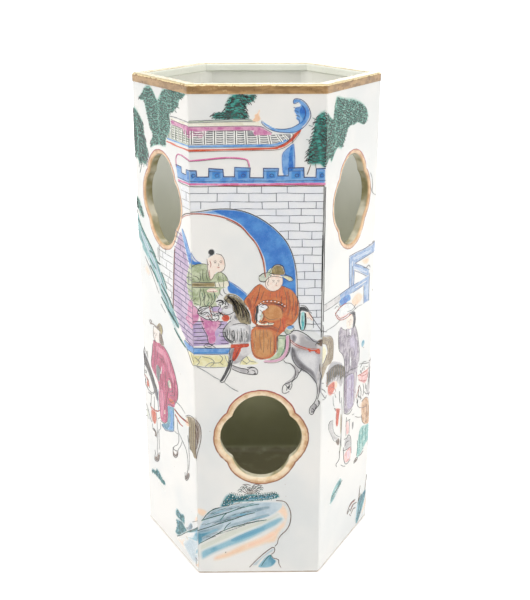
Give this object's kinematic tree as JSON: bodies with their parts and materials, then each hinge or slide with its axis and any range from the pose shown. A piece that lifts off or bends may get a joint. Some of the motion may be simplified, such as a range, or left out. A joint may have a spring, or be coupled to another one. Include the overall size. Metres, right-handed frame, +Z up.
{
  "type": "porcelain hat stand",
  "caption": "Tall hexagonal porcelain hat stand, open at the top, with a raised floor, a gilt rim and quatrefoil windows.",
  "frame": {"origin": "centre of the foot, on the surface that the stand rests on", "axes": "+Z up to the rim; the front face, with a low window, looks towards -Y; +X is to the viewer's right"},
  "size_m": [0.138, 0.12, 0.28],
  "materials": {
    "porcelain": "clear glaze over white porcelain",
    "porcelain_inside": "greyish clear glaze",
    "gilt_rim": "worn gilding over the glaze"
  },
  "bodies": {
    "root": {"floor_slab": "porcelain_inside", "wall_front": "porcelain", "rim_front": "gilt_rim", "floor_coil_front": "porcelain_inside", "wall_right_front": "porcelain", "rim_right_front": "gilt_rim", "floor_coil_right_front": "porcelain_inside", "wall_right_back": "porcelain", "rim_right_back": "gilt_rim", "floor_coil_right_back": "porcelain_inside", "wall_back": "porcelain", "rim_back": "gilt_rim", "floor_coil_back": "porcelain_inside", "wall_left_back": "porcelain", "rim_left_back": "gilt_rim", "floor_coil_left_back": "porcelain_inside", "wall_left_front": "porcelain", "rim_left_front": "gilt_rim", "floor_coil_left_front": "porcelain_inside", "corner_coil_front_right": "porcelain_inside", "corner_coil_right": "porcelain_inside", "corner_coil_back_right": "porcelain_inside", "corner_coil_back_left": "porcelain_inside", "corner_coil_left": "porcelain_inside", "corner_coil_front_left": "porcelain_inside"}
  },
  "joints": []
}
